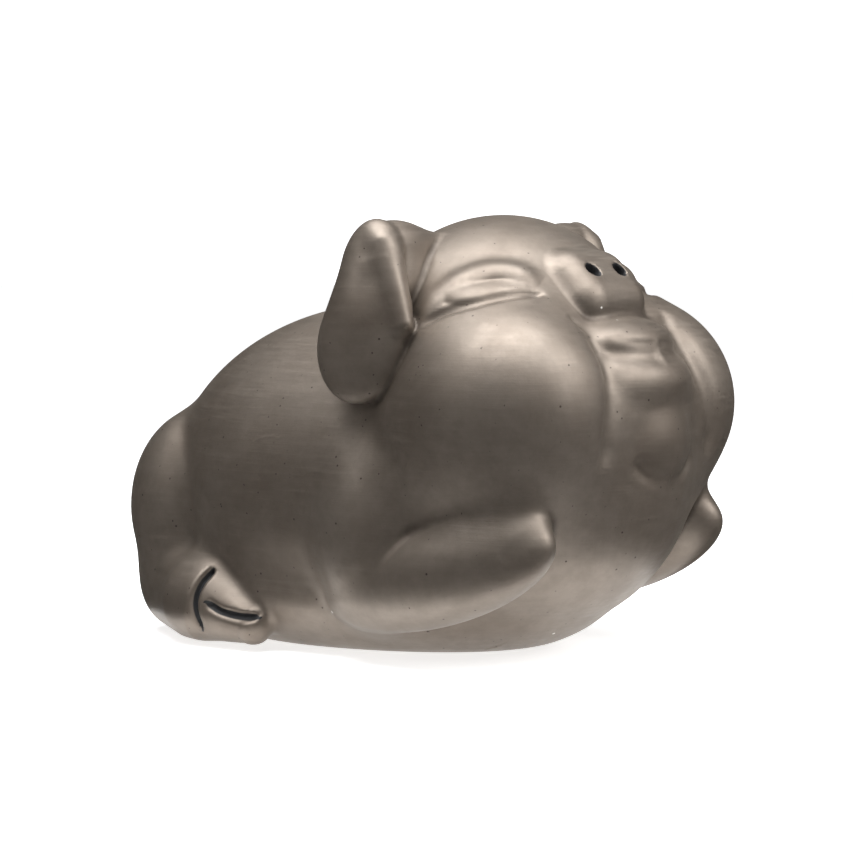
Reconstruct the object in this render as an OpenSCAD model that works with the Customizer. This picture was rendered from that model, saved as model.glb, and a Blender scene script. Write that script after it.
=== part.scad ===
// Cast iron still bank in the shape of a laughing pig that lies with its snout raised.
// Two hollow castings meet on the mid-plane, where two dowel pins locate them, and one
// machine screw draws them together. The nose points along +X, +Z is up, and the origin
// is under the middle of the flat base.

/* [Casting] */
// Wall thickness of both castings
wall = 3.4; // [2.8:0.1:4.2]
// Facets of one casting's skin from the snout round to the tail
skin_half = 28; // [20:2:40]
// Facets of the skin from the base to the crown
skin_up = 30; // [20:2:40]

/* [Trunk] */
// Centre of the trunk
trunk_at = [-11, 0, 29.5]; // [-40:0.5:60]
// Half length, half width and half height of the trunk
trunk_r = [44, 35, 33.5]; // [20:0.5:60]
// Nose-up tilt of the trunk in degrees
trunk_tilt = 7; // [0:1:12]
// Centre of the chest
chest_at = [14, 0, 32]; // [-40:0.5:60]
// Half sizes of the chest
chest_r = [39.5, 34, 31]; // [20:0.5:60]
// Centre of the low belly that carries the base
belly_at = [-12, 0, 9]; // [-40:0.5:60]
// Half sizes of the low belly
belly_r = [44, 31, 12]; // [8:0.5:60]
// Centre of the near haunch
haunch_at = [-41, -16.5, 24]; // [-60:0.5:60]
// Half sizes of the haunch
haunch_r = [14.5, 14.5, 19]; // [8:0.5:40]
// Centre of the shoulder and upper arm
shoulder_at = [11, -25, 24]; // [-60:0.5:60]
// Half sizes of the shoulder
shoulder_r = [13, 12.5, 19]; // [8:0.5:40]

/* [Head] */
// Centre of the skull
skull_at = [18, 0, 56.5]; // [-40:0.5:70]
// Half sizes of the skull
skull_r = [24, 28, 23]; // [10:0.5:40]
// Centre of the cheek
cheek_at = [32, -19.5, 45]; // [-40:0.5:70]
// Half sizes of the cheek
cheek_r = [20.8, 19.6, 20.6]; // [10:0.5:40]
// Centre of the lower jaw
jaw_at = [42.5, 0, 47]; // [-40:0.5:70]
// Half sizes of the lower jaw
jaw_r = [11.5, 17, 13.5]; // [6:0.5:40]
// Centre of the chin
chin_at = [50, 0, 38.5]; // [-40:0.5:70]
// Half sizes of the chin
chin_r = [6, 8, 6.5]; // [5:0.5:20]
// Centre of the snout
snout_at = [36, 0, 66]; // [20:0.5:60]
// Half sizes of the snout along, across and down, before it is tilted
snout_r = [10.5, 11.5, 8]; // [5:0.5:20]
// How far up the snout's end face looks, in degrees
snout_tilt = 42; // [20:1:60]
// Diameter of a nostril
nostril_d = 3.2; // [1:0.2:4]
// Centre of the ear
ear_at = [12, -29, 63]; // [-40:0.5:70]
// Half sizes of the ear
ear_r = [10, 8, 17]; // [4:0.5:30]
// How far the ear's lower tip points back, in degrees
ear_tilt = -6; // [-20:1:20]

/* [Legs] */
// Centre of the forearm and its hoof
forearm_at = [26, -28, 17]; // [-60:0.5:60]
// Half sizes of the forearm
forearm_r = [23, 9, 9]; // [4:0.5:30]
// Rise of the forearm towards its hoof, in degrees
forearm_tilt = 18; // [0:1:30]
// Centre of the hind foot
foot_at = [-37, -23, 7.5]; // [-60:0.5:60]
// Half sizes of the hind foot
foot_r = [14, 10, 8]; // [4:0.5:30]
// Centre of the hind hoof
hoof_at = [-21, -29, 7.5]; // [-60:0.5:60]
// Half sizes of the hind hoof
hoof_r = [10, 7, 7.5]; // [4:0.5:30]

/* [Coin slot] */
// Length of the slot along the back
slot_l = 31; // [24:1:36]
// Width of the slot
slot_w = 3.4; // [2.4:0.2:4]
// Middle of the slot along the back
slot_x = -21; // [-26:1:-18]

/* [Screw and nut] */
// Place of the screw along the body
screw_x = -9; // [-14:1:-4]
// Height of the screw above the base
screw_z = 31; // [26:1:36]
// Diameter of the screw's shank
screw_d = 4.9; // [4:0.1:6]
// Length of the screw under its head
screw_l = 44; // [40:1:48]
// Diameter of the screw's head
head_d = 9.6; // [8:0.2:11]
// Height of the screw's head
head_h = 3.2; // [2.4:0.2:4]
// Width across the flats of the square nut
nut_w = 8; // [7:0.5:9]
// Thickness of the nut
nut_t = 4; // [3:0.5:5]
// Thickness of the lock washer
washer_t = 1.2; // [0.8:0.2:1.6]

/* [Locating pins] */
// Diameter of a dowel pin
pin_d = 4; // [3:0.5:5]
// Length of a dowel pin
pin_l = 14; // [10:1:18]
// Place of the front pin along the body
front_pin_x = 23; // [18:1:24]
// Place of the rear pin along the body
rear_pin_x = -38; // [-39:1:-30]
// Height of both pins above the base
pin_z = 7.5; // [7:0.5:9]

/* [Hidden] */

iron = [0.47, 0.42, 0.37];
dark_steel = [0.27, 0.26, 0.25];
steel = [0.62, 0.62, 0.6];
nut_grey = [0.55, 0.52, 0.46];

// The body's own middle lies this far behind the origin.
body_x = 0.1;
// Rays that find the skin start here.
heart = [-2, 0, 34];
reach = 75;
halvings = 13;
round_fn = 20;
// Well outside the skin.
far_y = 100;
eps = 0.01;
// A point this near the floor lies on it.
snap = 0.03;

// Seat of the washer in the left flank, and the layout along the screw from there.
seat_y = 29.5;
post_r = 8;
recess_r = head_d / 2 + 1;
boss_r = recess_r + wall / 2;
// The posts end here, inside the wall of the flank.
flank_y = 32.8;
hole_play = 0.35;
web_t = 4;
nut_y = -web_t - nut_t / 2;
pocket_play = 0.25;
pin_back = 8;
lug_r = pin_d / 2 + 3.5;
lug_l = 11;
lug_play = 0.3;
nut_play = 0.05;
washer_play = 0.1;
washer_inset = 0.4;

// The smoothly blended masses of the skin: centre, half sizes, nose-up tilt, blend length.
MASSES = [
    [trunk_at, trunk_r, trunk_tilt, 0],
    [chest_at, chest_r, 0, 10],
    [belly_at, belly_r, 0, 8],
    [haunch_at, haunch_r, 0, 2.5],
    [foot_at, foot_r, 0, 2],
    [hoof_at, hoof_r, 0, 1.5],
    [shoulder_at, shoulder_r, 0, 3],
    [forearm_at, forearm_r, forearm_tilt, 2],
    [skull_at, skull_r, 0, 3],
    [cheek_at, cheek_r, 0, 3],
    [jaw_at, jaw_r, 0, 2.5],
    [chin_at, chin_r, 0, 2],
    [snout_at, snout_r, snout_tilt, 2],
    [ear_at, ear_r, ear_tilt, 1.5],
];

// A point seen from a mass's centre, with the mass's nose-up tilt taken off.
function seen(p, m) =
    let (q = p - m[0], c = cos(m[2]), s = sin(m[2]))
    [c * q[0] + s * q[2], q[1], c * q[2] - s * q[0]];

// Nearly the distance from a point to a mass's skin, negative inside.
function mass_gap(p, m) =
    let (
        q = seen(p, m),
        a = norm([for (i = [0:2]) q[i] / m[1][i]]),
        b = norm([for (i = [0:2]) q[i] / (m[1][i] * m[1][i])])
    )
    b < 1e-9 ? -min(m[1]) : a * (a - 1) / b;

// The lesser of two gaps, rounded where they are within k of each other.
function blend(a, b, k) =
    let (h = k > 0 ? max(k - abs(a - b), 0) / k : 0)
    min(a, b) - h * h * k / 4;

// The gap from a point on the right side to the whole skin.
function skin_gap(p, i = 0, sum = 1e6) =
    i == len(MASSES) ? sum
    : skin_gap(p, i + 1, blend(sum, mass_gap(p, MASSES[i]), MASSES[i][3]));

// How far along a ray from the heart the skin lies, moved in by t, above a floor at t.
function ray_length(way, t, low = 0, high = reach, n = 0) =
    n == halvings ? low
    : let (mid = (low + high) / 2, p = heart + mid * way)
      max(skin_gap(p) + t, t - p[2]) < 0
      ? ray_length(way, t, mid, high, n + 1)
      : ray_length(way, t, low, mid, n + 1);

// A direction on the right side: a is 0 at the nose and 180 at the tail.
function way_of(a, b) = [cos(a) * cos(b), -sin(a) * cos(b), sin(b)];

// The point of the skin along a direction; points at the floor lie exactly on it.
function skin_point(way, t) =
    let (p = heart + ray_length(way, t) * way)
    [p[0], p[1], p[2] < t + snap ? t : p[2]];

// Points of half a skin, row by row from low to high, then its lowest and highest point.
function half_skin(t) = concat(
    [for (j = [1:skin_up - 1]) for (i = [0:skin_half])
        skin_point(way_of(180 * i / skin_half, -90 + 180 * j / skin_up), t)],
    [skin_point([0, 0, -1], t), skin_point([0, 0, 1], t)]
);

// The right half of the shell as one closed surface: outside, inside and the flat rim
// between them on the mid-plane.
module half_shell(t) {
    row = skin_half + 1;
    rows = skin_up - 1;
    count = rows * row + 2;
    low = count - 2;
    high = count - 1;
    top = (rows - 1) * row;
    outside = concat(
        [for (j = [0:rows - 2]) for (i = [0:skin_half - 1])
            let (a = j * row + i)
            each [[a, a + 1, a + row + 1], [a, a + row + 1, a + row]]],
        [for (i = [0:skin_half - 1]) [low, i + 1, i]],
        [for (i = [0:skin_half - 1]) [high, top + i, top + i + 1]]
    );
    inside = [for (f = outside) [f[2] + count, f[1] + count, f[0] + count]];
    loop = concat(
        [low],
        [for (j = [0:rows - 1]) j * row],
        [high],
        [for (j = [rows - 1:-1:0]) j * row + skin_half]
    );
    rim = [for (k = [0:len(loop) - 1])
        let (a = loop[k], b = loop[(k + 1) % len(loop)])
        each [[a, b, b + count], [a, b + count, a + count]]];
    polyhedron(concat(half_skin(0), half_skin(t)), concat(outside, inside, rim), convexity = 8);
}

// The nostrils: two blind holes square to the snout's end face.
module nostrils() {
    apart = 4.6;
    depth = 2;
    face_share = 0.9;
    translate(snout_at) rotate([0, -snout_tilt, 0])
        for (side = [-1, 1]) translate([snout_r[0] * face_share - depth, side * apart, 0])
            rotate([0, 90, 0]) cylinder(d = nostril_d, h = 3 * depth, $fn = round_fn);
}

// A small curled tail in low relief on the left of the rump.
module tail() {
    at = [-52.5, 8, 40];
    lean = [0, -78, 12];
    ring_r = 4.2;
    rope_r = 1.8;
    rope_fn = 16;
    translate(at) rotate(lean) rotate_extrude($fn = round_fn)
        translate([ring_r, 0]) circle(r = rope_r, $fn = rope_fn);
}

// A round bar along the screw's direction between two places across the body.
module bar(x, z, r, y1, y2) {
    translate([x, y1, z]) rotate([-90, 0, 0]) cylinder(r = r, h = y2 - y1, $fn = round_fn);
}

// The slot that coins drop through, cut across the parting line.
module coin_slot() {
    straight = slot_l - slot_w;
    height = 40;
    low = screw_z + 12;
    translate([slot_x - straight / 2, -slot_w / 2, low]) cube([straight, slot_w, height]);
    for (end = [-1, 1]) translate([slot_x + end * straight / 2, 0, low])
        cylinder(d = slot_w, h = height, $fn = round_fn);
}

// The right casting's screw post and lugs, with their holes and the pocket for the nut.
module right_posts() {
    difference() {
        union() {
            bar(screw_x, screw_z, post_r, -flank_y, 0);
            for (x = [front_pin_x, rear_pin_x]) bar(x, pin_z, lug_r, -lug_l, 0);
        }
        bar(screw_x, screw_z, screw_d / 2 + hole_play, seat_y - screw_l - 3, 1);
        nut_pocket();
        for (x = [front_pin_x, rear_pin_x]) bar(x, pin_z, pin_d / 2, -pin_back, 1);
    }
}

module right_shell() {
    color(iron) translate([body_x, 0, 0]) {
        difference() {
            union() {
                half_shell(wall);
                right_posts();
            }
            nostrils();
            coin_slot();
        }
    }
}

// The nut drops into its post from above, behind a web that takes the screw's pull.
module nut_pocket() {
    w = nut_w + 2 * pocket_play;
    t = nut_t + 2 * pocket_play;
    translate([screw_x - w / 2, nut_y - t / 2, screw_z - nut_w / 2])
        cube([w, t, nut_w + post_r]);
}

// The left casting's screw post and lugs, with their holes.
module left_posts() {
    difference() {
        union() {
            bar(screw_x, screw_z, post_r, 0, seat_y - wall / 2);
            bar(screw_x, screw_z, boss_r, seat_y - wall, flank_y - 1);
            for (x = [front_pin_x, rear_pin_x]) bar(x, pin_z, lug_r, 0, lug_l);
        }
        bar(screw_x, screw_z, screw_d / 2 + hole_play, -1, seat_y + 1);
        bar(screw_x, screw_z, recess_r, seat_y, far_y);
        for (x = [front_pin_x, rear_pin_x])
            bar(x, pin_z, pin_d / 2 + lug_play, -1, pin_l - pin_back + 1);
    }
}

module left_shell() {
    color(iron) translate([body_x, 0, 0]) {
        difference() {
            union() {
                mirror([0, 1, 0]) half_shell(wall);
                left_posts();
                tail();
            }
            nostrils();
            coin_slot();
            bar(screw_x, screw_z, recess_r, seat_y, far_y);
        }
    }
}

module clamp_screw() {
    head_y = seat_y + washer_t;
    slot_cut = [1.4, 1.5];
    color(steel) translate([body_x, 0, 0]) difference() {
        union() {
            bar(screw_x, screw_z, screw_d / 2, head_y - screw_l, head_y + eps);
            bar(screw_x, screw_z, head_d / 2, head_y, head_y + head_h);
        }
        translate([screw_x - slot_cut[0] / 2, head_y + head_h - slot_cut[1], screw_z - head_d])
            cube([slot_cut[0], slot_cut[1] + 1, 2 * head_d]);
    }
}

module lock_washer() {
    split = 0.8;
    color(steel) translate([body_x, 0, 0]) difference() {
        bar(screw_x, screw_z, head_d / 2 - washer_inset, seat_y, seat_y + washer_t);
        bar(screw_x, screw_z, screw_d / 2 + washer_play, seat_y - 1, seat_y + washer_t + 1);
        translate([screw_x, seat_y - 1, screw_z - split / 2])
            cube([head_d, washer_t + 2, split]);
    }
}

module square_nut() {
    color(nut_grey) translate([body_x, 0, 0]) difference() {
        translate([screw_x - nut_w / 2, nut_y - nut_t / 2, screw_z - nut_w / 2])
            cube([nut_w, nut_t, nut_w]);
        bar(screw_x, screw_z, screw_d / 2 + nut_play, -4 * nut_t, 0);
    }
}

// A dowel pin with a chamfer on both ends, pressed into the right casting.
module dowel(x) {
    chamfer = 0.6;
    r = pin_d / 2;
    color(dark_steel) translate([body_x + x, -pin_back, pin_z]) rotate([-90, 0, 0])
        rotate_extrude($fn = round_fn)
            polygon([
                [0, 0], [r - chamfer, 0], [r, chamfer], [r, pin_l - chamfer],
                [r - chamfer, pin_l], [0, pin_l]
            ]);
}

module front_locating_pin() {
    dowel(front_pin_x);
}

module rear_locating_pin() {
    dowel(rear_pin_x);
}

right_shell();
left_shell();
clamp_screw();
lock_washer();
square_nut();
front_locating_pin();
rear_locating_pin();
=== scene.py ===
"""The looks of a cast iron still bank: a laughing pig, cast as two hollow halves.

The pig is sculpted as a field of rounded masses: field(P) is about the distance in
millimetres from each point of P to the skin, and negative inside. A mesh is then laid on
the field's zero surface. Both halves come from the right side's field, so they meet
exactly on the mid-plane. The nose points along +X and the pig's right is towards -Y.
"""
import math

import bmesh
import bpy
import numpy as np
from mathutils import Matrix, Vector


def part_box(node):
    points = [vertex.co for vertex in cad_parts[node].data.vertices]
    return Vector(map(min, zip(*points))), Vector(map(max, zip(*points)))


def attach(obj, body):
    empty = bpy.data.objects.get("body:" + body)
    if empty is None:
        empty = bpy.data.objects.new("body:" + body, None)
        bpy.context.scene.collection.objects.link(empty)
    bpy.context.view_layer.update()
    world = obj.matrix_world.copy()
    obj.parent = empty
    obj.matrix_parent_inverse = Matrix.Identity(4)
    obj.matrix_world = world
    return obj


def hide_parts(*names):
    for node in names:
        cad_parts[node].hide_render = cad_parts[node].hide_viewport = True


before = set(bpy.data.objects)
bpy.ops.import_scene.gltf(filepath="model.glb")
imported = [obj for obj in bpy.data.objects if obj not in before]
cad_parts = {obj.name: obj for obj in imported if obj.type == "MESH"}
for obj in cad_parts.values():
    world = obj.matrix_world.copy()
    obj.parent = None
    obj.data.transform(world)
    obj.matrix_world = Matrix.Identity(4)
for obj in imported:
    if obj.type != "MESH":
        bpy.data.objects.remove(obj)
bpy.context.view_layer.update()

MM = 0.001
BODY_X = 0.1            # the pig's own axes lie this far along +X of the frame's origin
CELL = 0.5
WALL = 3.4
LOW = (-60, -43, -3)
HIGH = (62, 2, 86)
F4 = np.float32

# ---------------------------------------------------------------- shapes as fields


def turned(yaw, pitch, roll):
    """Columns are a shape's own axes: yaw about +Z, pitch lifts the nose, roll about +X."""
    y, p, r = np.radians([yaw, pitch, roll])
    about_z = np.array([[np.cos(y), -np.sin(y), 0], [np.sin(y), np.cos(y), 0], [0, 0, 1]])
    about_y = np.array([[np.cos(p), 0, -np.sin(p)], [0, 1, 0], [np.sin(p), 0, np.cos(p)]])
    about_x = np.array([[1, 0, 0], [0, np.cos(r), -np.sin(r)], [0, np.sin(r), np.cos(r)]])
    return (about_z @ about_y @ about_x).astype(F4)


def ball(P, at, half, yaw=0, pitch=0, roll=0):
    """A ball stretched to three half sizes."""
    q = (P - np.array(at, F4)) @ turned(yaw, pitch, roll)
    half = np.array(half, F4)
    a = q / half
    b = a / half
    k = np.sqrt((a * a).sum(1))
    return k * (k - 1) / (np.sqrt((b * b).sum(1)) + 1e-9)


def block(P, at, half, r, yaw=0, pitch=0, roll=0):
    """A box with rounded edges."""
    q = np.abs((P - np.array(at, F4)) @ turned(yaw, pitch, roll)) - (np.array(half, F4) - r)
    return np.linalg.norm(np.maximum(q, 0), axis=1) + np.minimum(q.max(1), 0) - r


def limb(P, a, b, ra, rb):
    """A round bar from a to b whose radius goes from ra to rb."""
    a, b = np.array(a, F4), np.array(b, F4)
    ab = b - a
    t = np.clip(((P - a) @ ab) / (ab @ ab), 0, 1)
    return np.linalg.norm(P - a - t[:, None] * ab, axis=1) - (ra + (rb - ra) * t)


def bar(P, x, z, r, y1, y2):
    """A round bar along +Y."""
    across = np.hypot(P[:, 0] - x, P[:, 2] - z) - r
    along = np.maximum(y1 - P[:, 1], P[:, 1] - y2)
    return np.maximum(across, along)


def rounded(points, per_span=6):
    """A smooth line through given points."""
    p = np.array([points[0]] + list(points) + [points[-1]], float)
    out = []
    for i in range(1, len(p) - 2):
        for t in np.linspace(0, 1, per_span, endpoint=False):
            out.append(0.5 * (2 * p[i] + (p[i + 1] - p[i - 1]) * t
                              + (2 * p[i - 1] - 5 * p[i] + 4 * p[i + 1] - p[i + 2]) * t * t
                              + (3 * p[i] - p[i - 1] - 3 * p[i + 1] + p[i + 2]) * t ** 3))
    out.append(p[-1])
    return np.array(out, F4)


def along_line(P, line, sideways=False):
    """The distance to a line of points, and how far along it that is, from 0 to 1.

    Sideways leaves Y out, for a line drawn on the flank.
    """
    if sideways:
        P = np.where(P[:, 1:2] < -20, P, 1e3) * (1, 0, 1)
        line = line * (1, 0, 1)
    best = np.full(len(P), 1e6, F4)
    share = np.zeros(len(P), F4)
    near = np.all((P > line.min(0) - 8) & (P < line.max(0) + 8), axis=1)
    Q = P[near]
    if len(Q) == 0:
        return best, share
    b, s = best[near], share[near]
    for i in range(len(line) - 1):
        ab = line[i + 1] - line[i]
        t = np.clip(((Q - line[i]) @ ab) / (ab @ ab + 1e-9), 0, 1)
        d = np.linalg.norm(Q - line[i] - t[:, None] * ab, axis=1)
        closer = d < b
        b[closer] = d[closer]
        s[closer] = (i + t[closer]) / (len(line) - 1)
    best[near], share[near] = b, s
    return best, share


def join(a, b, k):
    """The union of two fields, filleted over about k."""
    h = np.clip(0.5 + 0.5 * (b - a) / k, 0, 1)
    return b * (1 - h) + a * h - k * h * (1 - h)


def cut(a, b, k):
    """Field a with field b taken away, with an edge rounded over about k."""
    return -join(-a, b, k)


def groove(d, P, line, width, depth, fade=0.2, sideways=False):
    """A soft groove in field d along a line; it fades out over a share of each end."""
    off, share = along_line(P, line, sideways)
    ends = np.clip(np.minimum(share, 1 - share) / max(fade, 1e-3), 0, 1)
    ends = ends * ends * (3 - 2 * ends) if fade > 0 else 1.0
    return d + depth * ends * np.exp(-(off / width) ** 2)


def ridge(d, P, line, width, height, fade=0.2):
    """The same as groove, but raised."""
    return groove(d, P, line, width, -height, fade)


# ---------------------------------------------------------------- the pig's right side

LID = rounded([(20.5, -28.2, 60.8), (23.2, -26, 64), (26, -23, 67.2), (29.5, -19.5, 69),
               (33, -16.5, 68.6), (36, -14.5, 66.3)])
LID_CREASE = rounded([(21.5, -29, 60.2), (25, -27, 63), (28.6, -24, 65.6), (31.2, -20, 67.3),
                      (34, -17.3, 67), (36.6, -16, 65.2)])
CHEEK_EDGE = rounded([(21.2, -30, 59), (26.6, -29, 62.2), (31.6, -27, 64), (34.7, -23.5, 65),
                      (36.8, -19, 65.3), (38, -14.6, 64.6)])
EAR_ROOT = rounded([(22.5, -25.5, 77.5), (18.5, -28, 72.5), (19, -28.5, 67.9),
                    (21.5, -29.6, 64.5)])
EAR_FOLD = rounded([(14.4, -36, 71.5), (15.6, -37, 67), (17.4, -37, 60.5), (15.8, -38, 52.5)])
MOUTH = rounded([(42, -15.5, 60.5), (45.8, -12, 59.6), (46.6, -6, 59.8), (46.8, 0, 59.8)])
TONGUE_EDGE = rounded([(47.3, -9.5, 57.8), (50, -5, 57), (50.8, 0, 56.8)])
LIP_EDGE = rounded([(48, -12.5, 55.8), (51, -7, 54.3), (52.4, 0, 53.9)])
JAW_SIDE = rounded([(45.8, -14.5, 59.4), (49.3, -13.6, 54), (51.9, -15.2, 48),
                    (51.9, -16.6, 41), (50, -16, 35.5)])
CHIN_EDGE = rounded([(52, -9, 37.3), (53, -6.5, 34.6), (54.4, -2.8, 33), (54.8, 0, 32.7)])
EAR_FOOT = rounded([(11.5, -36, 45), (15, -35, 41.5), (19, -35, 38.5), (23, -35.5, 35)])
CORONET = rounded([(-24, -30, 14.8), (-25.2, -34, 11.6), (-25.6, -35, 7.5), (-24.6, -34, 3)])
HOOF_CLEFT = rounded([(-23.4, -36, 8.9), (-20.5, -36, 7.3), (-16.5, -36, 6.5), (-12.6, -34, 6.4)])
FORE_CLEFT = rounded([(42, -33.5, 20.5), (45, -32.5, 23.5), (48, -29.5, 27)])
HAUNCH_EDGE = rounded([(-44, -20, 43), (-36, -27.5, 37), (-31.2, -31, 27),
                       (-33, -30.5, 18), (-38, -31, 13.5)])
NOSTRIL_AT = (41.3, -4.1, 70.3)
SNOUT_PITCH = 44


def trunk(P):
    """The large smooth masses that the hollow inside follows."""
    d = ball(P, (-11, 0, 29.5), (44, 35, 33.5), pitch=7)
    d = join(d, ball(P, (14, 0, 32), (39.5, 34, 31)), 8)
    d = join(d, ball(P, (-12, 0, 9), (44, 31, 12)), 7)
    return d


def skull(P):
    d = ball(P, (18, 0, 56.5), (24, 28, 23))
    d = join(d, ball(P, (32, -19.3, 45), (20.6, 18.9, 20)), 8)
    return join(d, ball(P, (42.5, 0, 47), (11.5, 17, 13.5)), 3)


def legs(P, d):
    d = join(d, ball(P, (-41, -16.5, 24), (14.5, 14.5, 19)), 2.6)
    d = groove(d, P, HAUNCH_EDGE, 2.2, 0.4)
    foot = limb(P, (-43, -20, 8.5), (-31, -28, 8), 8.5, 8.2)
    hoof = limb(P, (-26, -29.5, 7.6), (-15.5, -31.5, 4.6), 7.6, 3.6)
    d = join(d, foot, 6)
    d = join(d, hoof, 2.2)
    d = join(d, ball(P, (10.5, -25.4, 24), (13, 12.5, 18.5)), 3.6)
    arm = ball(P, (25, -28, 17), (24, 8.4, 9.2), yaw=3, pitch=17)
    return join(d, arm, 1.4)


def ear(P):
    """A leaf that hangs from a narrow top, and the web that ties it to the head."""
    e = ball(P, (12.2, -33, 57.6), (8.7, 4.6, 11.5), yaw=12, pitch=-16, roll=-4)
    e = join(e, ball(P, (13, -31.8, 68), (6.2, 3.8, 10.5), yaw=14, roll=-8), 4)
    e = join(e, limb(P, (15.6, -32.4, 74.5), (20.7, -32.8, 60.5), 1.3, 1.3), 2.6)
    web = join(ball(P, (13.2, -25.5, 65.5), (5, 9.5, 12)),
               limb(P, (13.2, -31, 75.6), (14, -14, 74.2), 2, 2), 4)
    return join(e, web, 1.2)


def snout(P):
    """A short neck that ends in a broad disc, a little dished."""
    s = block(P, (32, 0, 61.8), (10, 8.4, 6.8), 5, pitch=SNOUT_PITCH)
    s = join(s, block(P, (36.4, 0, 65.1), (6.3, 11, 8.6), 6.2, pitch=SNOUT_PITCH), 1.5)
    dish = ball(P, (45.3, 0, 74.9), (4.6, 10.5, 8.4), pitch=SNOUT_PITCH)
    return cut(s, dish, 2)


def nostril(P):
    return ball(P, NOSTRIL_AT, (4, 1.75, 1.55), yaw=8, pitch=SNOUT_PITCH, roll=-25)


def face(P, d):
    d = join(d, ball(P, (45.4, 0, 50), (9.2, 12.5, 5)), 3)
    d = join(d, ball(P, (48.8, 0, 39.5), (6.8, 9, 8)), 2)
    d = groove(d, P, JAW_SIDE, 2.2, 0.9)
    d = groove(d, P, CHIN_EDGE, 1.4, 0.5)
    d = join(d, snout(P), 1.0)
    d = groove(d, P, MOUTH, 1.5, 0.5, fade=0.1)
    d = join(d, ball(P, (41.5, 0, 57), (9.8, 13.5, 4.6)), 1.6)
    d = groove(d, P, TONGUE_EDGE, 0.8, 0.25)
    d = groove(d, P, LIP_EDGE, 1.4, 0.4)
    d = ridge(d, P, LID, 2.4, 1.7)
    d = groove(d, P, LID_CREASE, 0.9, 1.3)
    d = join(d, ball(P, (30.8, -21.8, 64.9), (7.6, 4.4, 2.5), yaw=38, roll=30), 0.6)
    d = groove(d, P, CHEEK_EDGE, 1.0, 1.1)
    return d


def coin_slot(P):
    x = np.maximum(np.abs(P[:, 0] + 21) - 13.8, 0)
    return np.maximum(np.hypot(x, P[:, 1]) - 1.7, 43 - P[:, 2])


def outside(P, tail_too=False):
    d = trunk(P)
    d = legs(P, d)
    d = join(d, skull(P), 8)
    d = groove(d, P, EAR_FOOT, 3, 0.4)
    d = join(d, ear(P), 1.0)
    d = groove(d, P, EAR_FOLD, 2.4, 0.5, fade=0.35, sideways=True)
    d = groove(d, P, EAR_ROOT, 0.9, 0.6, fade=0.35)
    d = face(P, d)
    if tail_too:
        d = join(d, tail(P), 0.8)
    d = groove(d, P, CORONET, 0.7, 1.2, fade=0.2, sideways=True)
    d = groove(d, P, HOOF_CLEFT, 0.7, 1.2, fade=0.2, sideways=True)
    d = groove(d, P, FORE_CLEFT, 1.4, 0.35)
    d = cut(d, nostril(P), 0.4)
    return cut(d, P[:, 2], 1.6)


def tail(P):
    """A curled tail in low relief on the rump."""
    turn = np.radians(np.linspace(0, 400, 22))
    r = 6.5 - 0.012 * np.degrees(turn)
    line = np.stack([-51.6 - 1.5 * turn / turn[-1] + 0.12 * r * np.cos(turn),
                     -9.5 + r * np.sin(turn), 37 - r * np.cos(turn)], 1).astype(F4)
    off, share = along_line(P, line)
    return off - (1.9 - 0.9 * share)


def hollow(P):
    inside = join(trunk(P), skull(P), 3) + WALL
    return np.maximum(inside, WALL - P[:, 2])


SCREW_X, SCREW_Z = -9, 31
PIN_X = (23, -38)
PIN_Z = 7.5
POST_R, POST_END = 8, -32.8
BOSS_R, RECESS_R = 7.5, 5.8
LUG_R, LUG_END = 5.5, -11
SEAT_Y = 29.5
SCREW_HOLE_R = 2.8
LOOSE_PIN_R, TIGHT_PIN_R = 2.3, 2.02
PAST_SKIN, PAST_RIM = -60, 9


def shell(P0, left):
    """One half of the bank, seen as the pig's right side. The left half is mirrored later."""
    P = P0.astype(F4).copy()
    P[:, 1] = -np.abs(P[:, 1])
    d = outside(P, tail_too=left)
    inner = hollow(P)
    d = np.maximum(d, -inner)
    posts = bar(P, SCREW_X, SCREW_Z, POST_R, POST_END, PAST_RIM)
    hole_end = PAST_SKIN if left else -17.5
    holes = bar(P, SCREW_X, SCREW_Z, SCREW_HOLE_R, hole_end, PAST_RIM)
    if left:
        boss = bar(P, SCREW_X, SCREW_Z, BOSS_R, POST_END + 1, -26)
        posts = np.minimum(posts, boss)
        holes = np.minimum(holes, bar(P, SCREW_X, SCREW_Z, RECESS_R, PAST_SKIN, -SEAT_Y))
    else:
        pocket = np.maximum(np.abs(P[:, 0] - SCREW_X) - 4.25, np.abs(P[:, 1] + 6) - 2.25)
        holes = np.minimum(holes, np.maximum(pocket, SCREW_Z - 4 - P[:, 2]))
        holes = np.maximum(holes, P[:, 2] - SCREW_Z - 12)
    for x in PIN_X:
        posts = np.minimum(posts, bar(P, x, PIN_Z, LUG_R, LUG_END, PAST_RIM))
        pin_r = LOOSE_PIN_R if left else TIGHT_PIN_R
        holes = np.minimum(holes, bar(P, x, PIN_Z, pin_r, -7.5, PAST_RIM))
    d = join(d, posts, 1.0)
    d = cut(d, holes, 0.25)
    return cut(d, coin_slot(P), 1.0)


# ---------------------------------------------------------------- a mesh on a field

# Places of a casting's materials; the rim is told apart until its normals are set.
RAW, RIM = 1, 2


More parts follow.
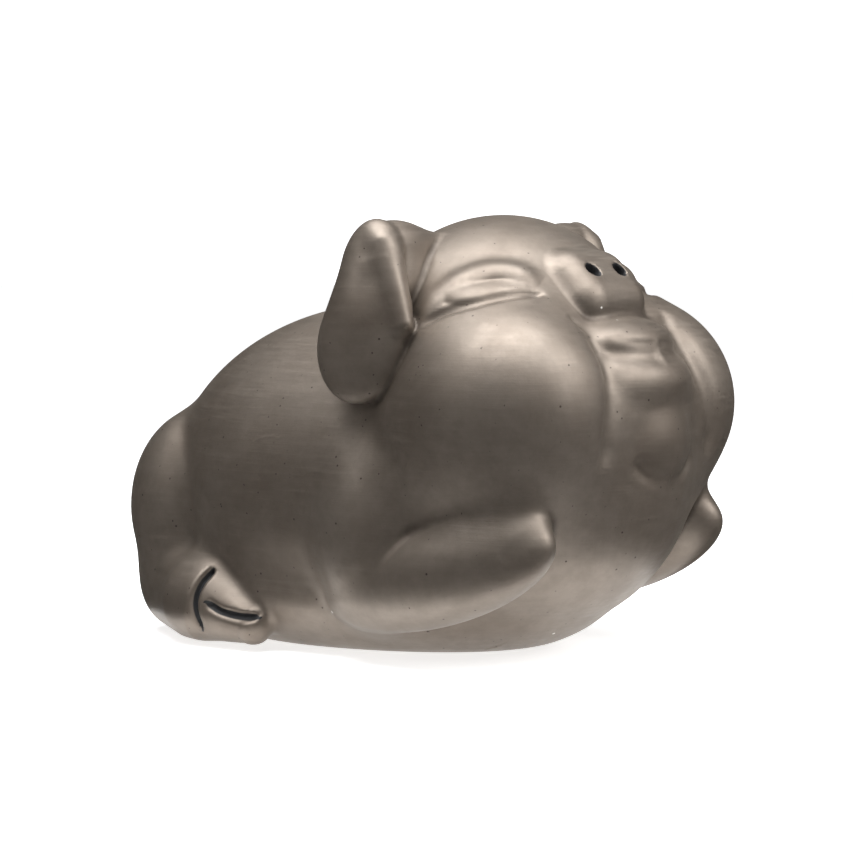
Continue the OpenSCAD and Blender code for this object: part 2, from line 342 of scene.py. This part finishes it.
def sampled(field, lo, hi, h, coarse=4):
    """The field on a fine grid; away from the skin it is only filled in."""
    H = h * coarse
    n = [math.ceil((hi[i] - lo[i]) / H) + 1 for i in range(3)]
    axes = [lo[i] + H * np.arange(n[i]) for i in range(3)]
    P = np.stack([g.ravel() for g in np.meshgrid(*axes, indexing="ij")], 1).astype(F4)
    F = field(P).reshape(n)
    for axis in range(3):
        A = np.moveaxis(F, axis, 0)
        fine = np.empty(((A.shape[0] - 1) * coarse + 1,) + A.shape[1:], A.dtype)
        for j in range(coarse):
            t = j / coarse
            fine[j:-1:coarse] = A[:-1] * (1 - t) + A[1:] * t
        fine[-1] = A[-1]
        F = np.moveaxis(fine, 0, axis)
    near = np.abs(F) < H * 1.6
    place = np.nonzero(near)
    P = np.stack([lo[i] + h * place[i] for i in range(3)], 1).astype(F4)
    batch = 300000
    values = [field(P[s:s + batch]) for s in range(0, len(P), batch)]
    F = np.ascontiguousarray(F)
    F[near] = np.concatenate(values)
    return F


def skinned(F, lo, h):
    """Points and four-sided faces on the zero surface of a gridded field."""
    inside = F < 0
    cells = tuple(n - 1 for n in F.shape)
    total = np.zeros(cells + (3,), F4)
    count = np.zeros(cells, np.int32)
    crossings = []
    for axis in range(3):
        head, rest = [slice(None)] * 3, [slice(None)] * 3
        head[axis], rest[axis] = slice(0, -1), slice(1, None)
        a, b = F[tuple(head)], F[tuple(rest)]
        e = np.stack(np.nonzero(inside[tuple(head)] != inside[tuple(rest)]), 1)
        va, vb = a[tuple(e.T)], b[tuple(e.T)]
        at = e.astype(F4)
        at[:, axis] += va / (va - vb)
        others = [i for i in range(3) if i != axis]
        for back_1 in (0, 1):
            for back_2 in (0, 1):
                c = e.copy()
                c[:, others[0]] -= back_1
                c[:, others[1]] -= back_2
                ok = np.all((c >= 0) & (c < cells), axis=1)
                np.add.at(total, tuple(c[ok].T), at[ok])
                np.add.at(count, tuple(c[ok].T), 1)
        crossings.append((axis, others, e, va < 0))
    active = count > 0
    index = -np.ones(cells, np.int64)
    index[active] = np.arange(active.sum())
    V = total[active] / count[active][:, None] * h + np.array(lo, F4)
    faces = []
    for axis, (o1, o2), e, inside_first in crossings:
        ok = (e[:, o1] > 0) & (e[:, o2] > 0) & (e[:, o1] < cells[o1]) & (e[:, o2] < cells[o2])
        e, first = e[ok], inside_first[ok]
        corners = []
        for back_1, back_2 in ((1, 1), (0, 1), (0, 0), (1, 0)):
            c = e.copy()
            c[:, o1] -= back_1
            c[:, o2] -= back_2
            corners.append(index[tuple(c.T)])
        q = np.stack(corners, 1)
        flip = first if axis != 1 else ~first
        q[~flip] = q[~flip][:, ::-1]
        faces.append(q)
    return V, np.concatenate(faces)


def slope(field, V, step=0.12):
    """The outward normal of the skin at each point."""
    g = np.empty_like(V)
    for axis in range(3):
        move = np.zeros(3, V.dtype)
        move[axis] = step
        g[:, axis] = field(V + move) - field(V - move)
    return g / (np.linalg.norm(g, axis=1)[:, None] + 1e-9)


def settled(field, V, rounds=2, limit=0.35):
    """Points moved onto the skin."""
    for _ in range(rounds):
        V = V - slope(field, V) * np.clip(field(V), -limit, limit)[:, None]
    return V


def half_mesh(name, left):
    """One casting as a closed mesh, cut flat on the mid-plane, in millimetres."""
    def field(P):
        return shell(P, left)
    F = sampled(field, LOW, HIGH, CELL)
    V, quads = skinned(F, LOW, CELL)
    V = settled(field, V)
    mesh = bpy.data.meshes.new(name)
    mesh.from_pydata(V.tolist(), [], quads.tolist())
    bm = bmesh.new()
    bm.from_mesh(mesh)
    parts = bm.verts[:] + bm.edges[:] + bm.faces[:]
    bmesh.ops.bisect_plane(bm, geom=parts, plane_co=(0, 0, 0), plane_no=(0, 1, 0),
                           clear_outer=True, dist=1e-3)
    rim = [e for e in bm.edges if e.is_boundary]
    filled = bmesh.ops.triangle_fill(bm, use_beauty=True, use_dissolve=False, edges=rim)
    for f in filled["geom"]:
        if isinstance(f, bmesh.types.BMFace):
            f.material_index = RIM
    bmesh.ops.recalc_face_normals(bm, faces=bm.faces[:])
    bm.to_mesh(mesh)
    bm.free()
    return mesh, field


def corners(mesh):
    V = np.empty(len(mesh.vertices) * 3, F4)
    mesh.vertices.foreach_get("co", V)
    return V.reshape(-1, 3)


def edge_pairs(mesh):
    E = np.empty(len(mesh.edges) * 2, np.int64)
    mesh.edges.foreach_get("vertices", E)
    return E.reshape(-1, 2)


def averaged(values, E, rounds, on_plane=None):
    """Each vertex's value drawn towards its neighbours' mean, mirrored on the mid-plane."""
    n = len(values)
    count = np.bincount(E.ravel(), minlength=n).astype(F4) + 1e-9
    for _ in range(rounds):
        total = np.zeros_like(values)
        for c in range(values.shape[1]):
            total[:, c] = (np.bincount(E[:, 0], values[E[:, 1], c], n)
                           + np.bincount(E[:, 1], values[E[:, 0], c], n))
        values = total / count[:, None]
        if on_plane is not None:
            values[on_plane, 1] = 0
    return values


def store(mesh, name, values):
    """A number at each vertex, which the materials read by name."""
    mesh.attributes.new(name, "FLOAT", "POINT").data.foreach_set("value", values.astype(F4))


def casting(name, left):
    """The finished half: its mesh, its numbers for wear and for darkening in creases, normals and
    materials.
    """
    mesh, field = half_mesh(name, left)
    V = corners(mesh)
    E = edge_pairs(mesh)
    N = slope(field, V)
    on_plane = V[:, 1] > -1e-3
    span = np.linalg.norm(V[E[:, 0]] - V[E[:, 1]], axis=1)
    E = E[span < 2 * CELL]
    bulge = ((V - averaged(V.copy(), E, round(3.5 / CELL ** 2), on_plane)) * N).sum(1)
    bulge = averaged(bulge[:, None], E, 3)[:, 0]
    # how deep each point lies in a crease or hollow; the paint is made darker there
    store(mesh, "crease_darkening", np.clip((-bulge - 0.04) / 0.4, 0, 1))
    ink = np.zeros(len(V), F4)
    for line, width in ((CORONET, 0.55), (HOOF_CLEFT, 0.6)):
        off, share = along_line(V, line, sideways=True)
        width = width * np.clip(5 * np.minimum(share, 1 - share) + 0.25, 0, 1)
        ink = np.maximum(ink, np.clip(1.5 - off / width, 0, 1))
    ink = np.maximum(ink, np.clip(0.9 - nostril(V) * 4, 0, 1))
    store(mesh, "ink", ink)
    store(mesh, "wear", np.clip((bulge - 0.24) / 0.4, 0, 1) * (V[:, 2] > 16))
    # which faces carry the paint
    faces = len(mesh.polygons)
    centres = np.empty(faces * 3, F4)
    mesh.polygons.foreach_get("center", centres)
    kind = np.empty(faces, np.int32)
    mesh.polygons.foreach_get("material_index", kind)
    bare = hollow(centres.reshape(-1, 3)) < 1.3
    kind[(kind != RIM) & bare] = RAW
    # smooth normals from the field, flat ones on the rim
    sizes = np.empty(faces, np.int32)
    mesh.polygons.foreach_get("loop_total", sizes)
    corner_vertex = np.empty(len(mesh.loops), np.int32)
    mesh.loops.foreach_get("vertex_index", corner_vertex)
    smooth = N[corner_vertex].copy()
    smooth[on_plane[corner_vertex], 1] = 0
    rim_corner = np.repeat(kind == RIM, sizes)
    smooth[rim_corner] = (0, 1, 0)
    smooth /= np.linalg.norm(smooth, axis=1)[:, None] + 1e-9
    mesh.polygons.foreach_set("use_smooth", [True] * faces)
    mesh.polygons.foreach_set("material_index", np.where(kind == RIM, RAW, kind).astype(np.int32))
    mesh.normals_split_custom_set(smooth.tolist())
    if left:
        mesh.transform(((1, 0, 0, 0), (0, -1, 0, 0), (0, 0, 1, 0), (0, 0, 0, 1)))
        mesh.flip_normals()
    place = ((MM, 0, 0, BODY_X * MM), (0, MM, 0, 0), (0, 0, MM, 0), (0, 0, 0, 1))
    mesh.transform(place)
    mesh.materials.append(painted_iron())
    mesh.materials.append(raw_iron())
    return added(name, mesh)


def added(name, mesh):
    piece = bpy.data.objects.new(name, mesh)
    bpy.context.scene.collection.objects.link(piece)
    return piece


# ---------------------------------------------------------------- materials


class Paint:
    """A material's nodes, added one call at a time."""

    def __init__(self, name):
        self.material = bpy.data.materials.new(name)
        self.material.use_nodes = True
        self.nodes = self.material.node_tree.nodes
        self.links = self.material.node_tree.links
        self.shader = self.nodes["Principled BSDF"]
        self.place = self.nodes.new("ShaderNodeTexCoord").outputs["Object"]

    def feed(self, socket, value):
        if isinstance(value, bpy.types.NodeSocket):
            self.links.new(value, socket)
        else:
            socket.default_value = value

    def stretched(self, scale, turn=(0, 0, 0)):
        node = self.nodes.new("ShaderNodeMapping")
        node.inputs["Scale"].default_value = scale
        node.inputs["Rotation"].default_value = turn
        self.links.new(self.place, node.inputs["Vector"])
        return node.outputs["Vector"]

    def noise(self, scale, detail=4, roughness=0.5, at=None, distortion=0):
        node = self.nodes.new("ShaderNodeTexNoise")
        node.inputs["Scale"].default_value = scale
        node.inputs["Detail"].default_value = detail
        node.inputs["Roughness"].default_value = roughness
        node.inputs["Distortion"].default_value = distortion
        self.links.new(at or self.place, node.inputs["Vector"])
        return node.outputs["Fac"]

    def cells(self, scale, output="Distance", at=None):
        node = self.nodes.new("ShaderNodeTexVoronoi")
        node.inputs["Scale"].default_value = scale
        self.links.new(at or self.place, node.inputs["Vector"])
        return node.outputs[output]

    def number(self, name):
        node = self.nodes.new("ShaderNodeAttribute")
        node.attribute_name = name
        return node.outputs["Fac"]

    def sums(self, how, a, b=0.0):
        node = self.nodes.new("ShaderNodeMath")
        node.operation = how
        self.feed(node.inputs[0], a)
        self.feed(node.inputs[1], b)
        return node.outputs[0]

    def ramp(self, value, low, high, to_low=0.0, to_high=1.0):
        node = self.nodes.new("ShaderNodeMapRange")
        node.interpolation_type = "SMOOTHSTEP"
        self.feed(node.inputs["Value"], value)
        for key, number in (("From Min", low), ("From Max", high),
                            ("To Min", to_low), ("To Max", to_high)):
            node.inputs[key].default_value = number
        return node.outputs["Result"]

    def mix(self, share, a, b):
        node = self.nodes.new("ShaderNodeMix")
        node.data_type = "RGBA"
        self.feed(node.inputs["Factor"], share)
        self.feed(node.inputs["A"], a)
        self.feed(node.inputs["B"], b)
        return node.outputs["Result"]

    def blend(self, share, a, b):
        node = self.nodes.new("ShaderNodeMix")
        node.data_type = "FLOAT"
        self.feed(node.inputs["Factor"], share)
        self.feed(node.inputs["A"], a)
        self.feed(node.inputs["B"], b)
        return node.outputs["Result"]

    def bump(self, height, strength, depth, under=None):
        node = self.nodes.new("ShaderNodeBump")
        node.inputs["Strength"].default_value = strength
        node.inputs["Distance"].default_value = depth
        self.feed(node.inputs["Height"], height)
        if under:
            self.links.new(under, node.inputs["Normal"])
        return node.outputs["Normal"]

    def set(self, **values):
        for key, value in values.items():
            self.feed(self.shader.inputs[key.replace("_", " ")], value)
        return self.material


def rgb(r, g, b):
    return (r, g, b, 1)


made = {}


def painted_iron():
    """Burnished bronze-grey lacquer over cast iron, worn pale on its edges."""
    if "painted" in made:
        return made["painted"]
    m = Paint("painted_iron")
    cloud = m.ramp(m.noise(38, 5, 0.6, distortion=0.6), 0.3, 0.72)
    mottle = m.ramp(m.noise(260, 4, 0.65), 0.32, 0.7)
    hair_1 = m.noise(1.0, 5, 0.7, m.stretched((60, 160, 2600), (0.25, 0.2, 0)))
    hair_2 = m.noise(1.0, 5, 0.7, m.stretched((70, 120, 2100), (-0.3, 0.35, 0)))
    hairs = m.blend(m.ramp(m.noise(45, 2), 0.4, 0.6), hair_1, hair_2)
    colour = m.mix(cloud, rgb(0.182, 0.147, 0.117), rgb(0.248, 0.209, 0.173))
    colour = m.mix(m.sums("MULTIPLY", mottle, 0.3), colour, rgb(0.145, 0.113, 0.087))
    colour = m.mix(m.ramp(hairs, 0.45, 0.75, 0, 0.13), colour, rgb(0.38, 0.34, 0.295))
    # darker, and a little rougher, in creases and hollows, in patches
    crease_darkening = m.sums("MULTIPLY", m.number("crease_darkening"), m.ramp(m.noise(120, 4), 0.2, 0.75, 0.6, 1.2))
    colour = m.mix(m.ramp(crease_darkening, 0.1, 0.9, 0, 0.85), colour, rgb(0.05, 0.036, 0.026))
    rub = m.ramp(m.noise(330, 5, 0.75), 0.38, 0.66)
    wear = m.ramp(m.sums("MULTIPLY", m.number("wear"), rub), 0.25, 0.8, 0, 0.75)
    colour = m.mix(wear, colour, rgb(0.6, 0.54, 0.45))
    pit_pick = m.ramp(m.noise(700, 1), 0.6, 0.66)
    pits = m.sums("MULTIPLY", m.ramp(m.cells(760), 0.1, 0.2, 1, 0), pit_pick)
    colour = m.mix(pits, colour, rgb(0.06, 0.045, 0.035))
    chip = m.sums("MULTIPLY", m.ramp(m.cells(240), 0.05, 0.085, 1, 0),
                  m.ramp(m.noise(95, 1), 0.66, 0.7))
    colour = m.mix(chip, colour, rgb(0.7, 0.68, 0.63))
    ink = m.ramp(m.number("ink"), 0.35, 0.65)
    colour = m.mix(ink, colour, rgb(0.006, 0.006, 0.007))
    gloss = m.blend(mottle, 0.43, 0.52)
    gloss = m.blend(m.ramp(hairs, 0.35, 0.7), gloss, 0.57)
    gloss = m.blend(m.ramp(crease_darkening, 0.1, 0.9), gloss, 0.6)
    gloss = m.blend(ink, gloss, 0.9)
    matt = m.sums("MAXIMUM", m.sums("MAXIMUM", ink, chip), m.sums("MULTIPLY", wear, 0.35))
    metal = m.blend(matt, 0.82, 0.0)
    cast = m.bump(m.noise(150, 5, 0.55), 0.14, 0.0006)
    grain = m.bump(hairs, 0.14, 0.00018, cast)
    grain = m.bump(m.noise(1500, 3, 0.6), 0.1, 0.0001, grain)
    normal = m.bump(m.sums("ADD", pits, chip), -0.4, 0.0002, grain)
    made["painted"] = m.set(Base_Color=colour, Roughness=gloss, Metallic=metal, Normal=normal,
                            Coat_Weight=0.4, Coat_Roughness=0.46)
    return made["painted"]


def raw_iron():
    """The unpainted inside: sand-cast grain, mill scale and light rust."""
    if "raw" in made:
        return made["raw"]
    m = Paint("raw_iron")
    cloud = m.ramp(m.noise(70, 5, 0.65), 0.35, 0.7)
    rust = m.ramp(m.noise(120, 6, 0.7, distortion=1.2), 0.52, 0.68)
    colour = m.mix(cloud, rgb(0.085, 0.078, 0.074), rgb(0.17, 0.155, 0.145))
    colour = m.mix(m.sums("MULTIPLY", rust, 0.75), colour, rgb(0.21, 0.085, 0.035))
    sand = m.noise(1100, 4, 0.7)
    colour = m.mix(m.ramp(sand, 0.5, 0.75, 0, 0.5), colour, rgb(0.05, 0.045, 0.042))
    normal = m.bump(m.noise(190, 4, 0.6), 0.4, 0.0008)
    normal = m.bump(sand, 0.55, 0.0004, normal)
    gloss = m.blend(rust, m.blend(cloud, 0.55, 0.68), 0.9)
    made["raw"] = m.set(Base_Color=colour, Roughness=gloss,
                        Metallic=m.blend(rust, 0.75, 0.0), Normal=normal)
    return made["raw"]


def turned_steel(name, tint, rough, turn_scale):
    """Machined steel with fine lines round the Y axis, stained a little."""
    if name in made:
        return made[name]
    m = Paint(name)
    lines = m.noise(1.0, 4, 0.6, m.stretched((60, turn_scale, 60)))
    stain = m.ramp(m.noise(300, 5, 0.7), 0.45, 0.75)
    dark = rgb(*[0.45 * t for t in tint])
    colour = m.mix(m.sums("MULTIPLY", stain, 0.7), rgb(*tint), dark)
    colour = m.mix(m.ramp(m.noise(520, 5, 0.7), 0.62, 0.72, 0, 0.6), colour, rgb(0.22, 0.1, 0.05))
    gloss = m.blend(stain, m.blend(m.ramp(lines, 0.3, 0.7), rough, rough + 0.14), rough + 0.25)
    normal = m.bump(lines, 0.3, 0.0001)
    made[name] = m.set(Base_Color=colour, Roughness=gloss, Metallic=0.95, Normal=normal)
    return made[name]


def screw_steel():
    return turned_steel("screw_steel", (0.52, 0.5, 0.47), 0.28, 1500)


# ---------------------------------------------------------------- screw, washer and nut


def extent(node):
    """A CAD node's middle along X and Z, its ends along Y and its half width, in millimetres."""
    low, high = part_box(node)
    middle = (low.x + high.x) / 2 / MM, (low.z + high.z) / 2 / MM
    return middle, low.y / MM, high.y / MM, (high.x - low.x) / 2 / MM


def ringed(rows, middle):
    """Rows of (along Y, radius, angle) as points round a middle, in metres."""
    cx, cz = middle
    return [[((cx + r * math.cos(a)) * MM, y * MM, (cz + r * math.sin(a)) * MM)
             for y, r, a in row] for row in rows]


def swept(name, rows, ends="capped"):
    """A solid from rings of equal count. Its two ends are capped, or joined to each other."""
    mesh = bpy.data.meshes.new(name)
    n = len(rows[0])
    V = [p for row in rows for p in row]
    spans = len(rows) if ends == "joined" else len(rows) - 1
    faces = []
    for j in range(spans):
        a, b = j * n, (j + 1) % len(rows) * n
        faces += [(a + i, a + (i + 1) % n, b + (i + 1) % n, b + i) for i in range(n)]
    if ends == "capped":
        faces.append(tuple(reversed(range(n))))
        faces.append(tuple(range(len(V) - n, len(V))))
    mesh.from_pydata(V, [], faces)
    outward(mesh)
    return mesh


def outward(mesh):
    """Every face of a closed mesh looks out."""
    bm = bmesh.new()
    bm.from_mesh(mesh)
    bmesh.ops.recalc_face_normals(bm, faces=bm.faces[:])
    bm.to_mesh(mesh)
    bm.free()


def thread_r(angle, y, outer, pitch, depth):
    """The radius of a thread's flank at an angle and a place along it."""
    t = (y / pitch - angle / (2 * math.pi)) % 1
    return outer - depth * abs(2 * t - 1)


def machine_screw():
    """Domed slotted head, plain neck and a cut thread."""
    middle, tip, top, head_r = extent("clamp_screw")
    head_h, shank_r, pitch, depth, around = 3.2, 2.45, 0.8, 0.42, 40
    neck_l, neck_r, rim_h, tip_l, tip_share = 6, shank_r - 0.2, 1.2, 1.2, 0.82
    crown_share = 0.28
    seat = top - head_h
    angles = np.linspace(0, 2 * math.pi, around, endpoint=False)
    rows = []
    y = tip
    while y < seat - neck_l:
        taper = tip_share + (1 - tip_share) * min(1.0, (y - tip) / tip_l)
        rows.append([(y, thread_r(a, y, shank_r, pitch, depth) * taper, a) for a in angles])
        y += pitch / 6
    profile = [(seat - neck_l, neck_r), (seat - 0.3, neck_r), (seat, shank_r),
               (seat, head_r - 0.35), (seat + 0.35, head_r), (seat + rim_h, head_r)]
    for k in range(1, 9):
        bend = k / 8 * math.pi / 2
        profile.append((seat + rim_h + (head_h - rim_h) * math.sin(bend),
                        head_r * (crown_share + (1 - crown_share) * math.cos(bend))))
    rows += [[(at, r, a) for a in angles] for at, r in profile]
    screw = added("machine_screw", swept("machine_screw", ringed(rows, middle)))
    slotted(screw, (middle[0], top, middle[1]), (1.4, 3, 14))
    smooth_by_angle(screw, 35)
    screw.data.materials.append(screw_steel())
    return screw


def slotted(piece, at, size):
    """A box-shaped cut in a piece, given in millimetres."""
    mesh = bpy.data.meshes.new("slot_tool")
    bm = bmesh.new()
    bmesh.ops.create_cube(bm, size=1)
    bmesh.ops.scale(bm, vec=[s * MM for s in size], verts=bm.verts)
    bmesh.ops.translate(bm, vec=[c * MM for c in at], verts=bm.verts)
    bm.to_mesh(mesh)
    bm.free()
    tool = added("slot_tool", mesh)
    cutter = piece.modifiers.new("slot", "BOOLEAN")
    cutter.object = tool
    cutter.solver = "EXACT"
    applied(piece)
    bpy.data.objects.remove(tool)


def applied(piece):
    """The piece's modifiers become its mesh."""
    ready = piece.evaluated_get(bpy.context.evaluated_depsgraph_get())
    mesh = bpy.data.meshes.new_from_object(ready)
    piece.modifiers.clear()
    piece.data = mesh


def smooth_by_angle(piece, degrees):
    mesh = piece.data
    mesh.polygons.foreach_set("use_smooth", [True] * len(mesh.polygons))
    mesh.set_sharp_from_angle(angle=math.radians(degrees))


def bevelled(piece, width, segments=2, angle=30):
    mod = piece.modifiers.new("edges", "BEVEL")
    mod.width = width * MM
    mod.segments = segments
    mod.limit_method = "ANGLE"
    mod.angle_limit = math.radians(angle)
    applied(piece)
    smooth_by_angle(piece, 35)


def spring_washer():
    """A split ring of square wire."""
    low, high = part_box("lock_washer")
    cx, cz = (low.x + high.x) / 2 / MM, (low.z + high.z) / 2 / MM
    outer = (high.z - low.z) / 2 / MM
    inner, thick = 2.65, (high.y - low.y) / MM
    half_split = math.radians(10)
    rows = []
    for a in np.linspace(half_split, 2 * math.pi - half_split, 49):
        ring = []
        for r, y in ((inner, 0), (outer, 0), (outer, thick), (inner, thick)):
            ring.append(((cx + r * math.cos(a)) * MM, low.y + y * MM,
                         (cz + r * math.sin(a)) * MM))
        rows.append(ring)
    washer = added("spring_washer", swept("spring_washer", rows))
    bevelled(washer, 0.12)
    washer.data.materials.append(screw_steel())
    return washer


def machine_nut():
    """A square nut with rounded corners on one face and a threaded bore."""
    middle, y0, y1, half = extent("square_nut")
    around, mouth_r, outer_r, pitch, depth = 48, 3.0, 2.82, 0.8, 0.3
    angles = [2 * math.pi * i / around for i in range(around)]

    def square_r(a, limit):
        return min(half / max(abs(math.cos(a)), abs(math.sin(a))), limit)
    unlimited = 2 * half
    outline = [(y0, half * 1.06), (y0 + 0.7, half * 1.3), (y0 + 0.9, unlimited),
               (y1, unlimited)]
    rows = [[(y, square_r(a, limit), a) for a in angles] for y, limit in outline]
    rows.append([(y1, mouth_r, a) for a in angles])
    y = y1
    while y > y0:
        rows.append([(y, thread_r(a, y, outer_r, pitch, depth), a) for a in angles])
        y -= pitch / 5
    rows.append([(y0, mouth_r, a) for a in angles])
    nut = added("machine_nut", swept("machine_nut", ringed(rows, middle), ends="joined"))
    smooth_by_angle(nut, 30)
    nut.data.materials.append(turned_steel("nut_steel", (0.4, 0.37, 0.33), 0.42, 700))
    return nut


# ---------------------------------------------------------------- the object


def build_bank():
    right = casting("right_casting", False)
    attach(right, "right_half")
    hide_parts("right_shell")
    left = casting("left_casting", True)
    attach(left, "left_half")
    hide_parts("left_shell")
    screw = machine_screw()
    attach(screw, "screw")
    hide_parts("clamp_screw")
    washer = spring_washer()
    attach(washer, "left_half")
    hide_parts("lock_washer")
    nut = machine_nut()
    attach(nut, "right_half")
    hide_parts("square_nut")
    for node in ("front_locating_pin", "rear_locating_pin"):
        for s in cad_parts[node].material_slots:
            s.material = turned_steel("pin_steel", (0.5, 0.48, 0.45), 0.25, 900)


# ---------------------------------------------------------------- floor, light and camera


def plain(name, colour, rough=0.8, glow=0.0):
    m = Paint(name)
    m.set(Base_Color=rgb(*colour), Roughness=rough)
    if glow:
        m.shader.inputs["Emission Color"].default_value = rgb(*colour)
        m.shader.inputs["Emission Strength"].default_value = glow
    return m.material


def floor():
    """White paper that also glows like a lamp, a little less near the middle: a painted glow that
    lights the pig from below and lets the far part fade into the backdrop.
    """
    mesh = bpy.data.meshes.new("floor")
    size = 4.5
    mesh.from_pydata([(-size, -size, 0), (size, -size, 0), (size, size, 0), (-size, size, 0)],
                     [], [(0, 1, 2, 3)])
    m = Paint("floor_white")
    node = m.nodes.new("ShaderNodeVectorMath")
    node.operation = "LENGTH"
    m.links.new(m.place, node.inputs[0])
    # painted glow: the whole floor gives off light, more towards its far part
    glow = m.ramp(node.outputs["Value"], 0.12, 0.9, 0.72, 0.95)
    m.set(Base_Color=rgb(0.86, 0.86, 0.855), Roughness=0.6, Emission_Color=rgb(1, 1, 1),
          Emission_Strength=glow)
    mesh.materials.append(m.material)
    added("floor", mesh)


def dark_room():
    """What the satin paint mirrors at eye level: black cards on and around the table."""
    around = 64
    profile = ((0.062, 0.047, 0.0015), (0.6, 0.6, 0.003), (0.6, 0.6, 0.36))
    turns = [2 * math.pi * i / around for i in range(around)]
    V = [(rx * math.cos(a), ry * math.sin(a), z) for rx, ry, z in profile for a in turns]
    faces = [(j * around + i, j * around + (i + 1) % around,
              (j + 1) * around + (i + 1) % around, (j + 1) * around + i)
             for j in range(len(profile) - 1) for i in range(around)]
    mesh = bpy.data.meshes.new("black_cards")
    mesh.from_pydata(V, [], faces)
    mesh.materials.append(plain("black_card", (0.012, 0.01, 0.009), 1.0))
    cards = added("black_cards", mesh)
    for ray in ("visible_camera", "visible_diffuse", "visible_shadow", "visible_transmission"):
        setattr(cards, ray, False)


def backdrop():
    """A bright paper wall behind everything, which lights nothing."""
    mesh = bpy.data.meshes.new("backdrop")
    bm = bmesh.new()
    bmesh.ops.create_uvsphere(bm, u_segments=48, v_segments=24, radius=5)
    bm.to_mesh(mesh)
    bm.free()
    mesh.materials.append(plain("paper_white", (0.95, 0.95, 0.95), 1.0, glow=1.0))
    paper = added("backdrop", mesh)
    for ray in ("visible_glossy", "visible_diffuse", "visible_shadow", "visible_transmission"):
        setattr(paper, ray, False)


def area_light(name, at, aim, size, power, colour=(1, 1, 1)):
    data = bpy.data.lights.new(name, "AREA")
    data.shape = "RECTANGLE"
    data.size, data.size_y = size
    data.energy = power
    data.color = colour
    light = bpy.data.objects.new(name, data)
    bpy.context.scene.collection.objects.link(light)
    light.location = at
    light.rotation_euler = (Vector(aim) - Vector(at)).to_track_quat("-Z", "Y").to_euler()


def lights():
    world = bpy.data.worlds.new("studio")
    bpy.context.scene.world = world
    world.use_nodes = True
    world.node_tree.nodes["Background"].inputs["Color"].default_value = rgb(0.93, 0.94, 0.95)
    world.node_tree.nodes["Background"].inputs["Strength"].default_value = 0.09
    area_light("top", (0.04, -0.08, 0.62), (0, 0, 0.04), (0.7, 0.5), 8, (0.98, 0.99, 1))
    area_light("right", (0.52, 0.2, 0.4), (0.02, 0, 0.04), (0.35, 0.35), 2.6)
    area_light("near", (-0.35, -0.75, 0.6), (0, 0, 0.04), (0.3, 0.3), 0.7)
    bpy.context.scene.view_settings.view_transform = "Standard"


def camera():
    """Seen from the pig's right front, 4 degrees above the floor."""
    azimuth, elevation, distance = math.radians(38), math.radians(4), 0.47
    target = Vector((BODY_X * MM, 0, 0.040))
    away = Vector((math.sin(azimuth) * math.cos(elevation),
                   -math.cos(azimuth) * math.cos(elevation), math.sin(elevation)))
    data = bpy.data.cameras.new("camera")
    data.sensor_width = 36
    data.lens = 105.5
    data.clip_start = 0.01
    eye = bpy.data.objects.new("camera", data)
    eye.location = target + distance * away
    eye.rotation_euler = (-away).to_track_quat("-Z", "Y").to_euler()
    bpy.context.scene.collection.objects.link(eye)
    bpy.context.scene.camera = eye


camera()
build_bank()
floor()
dark_room()
backdrop()
lights()
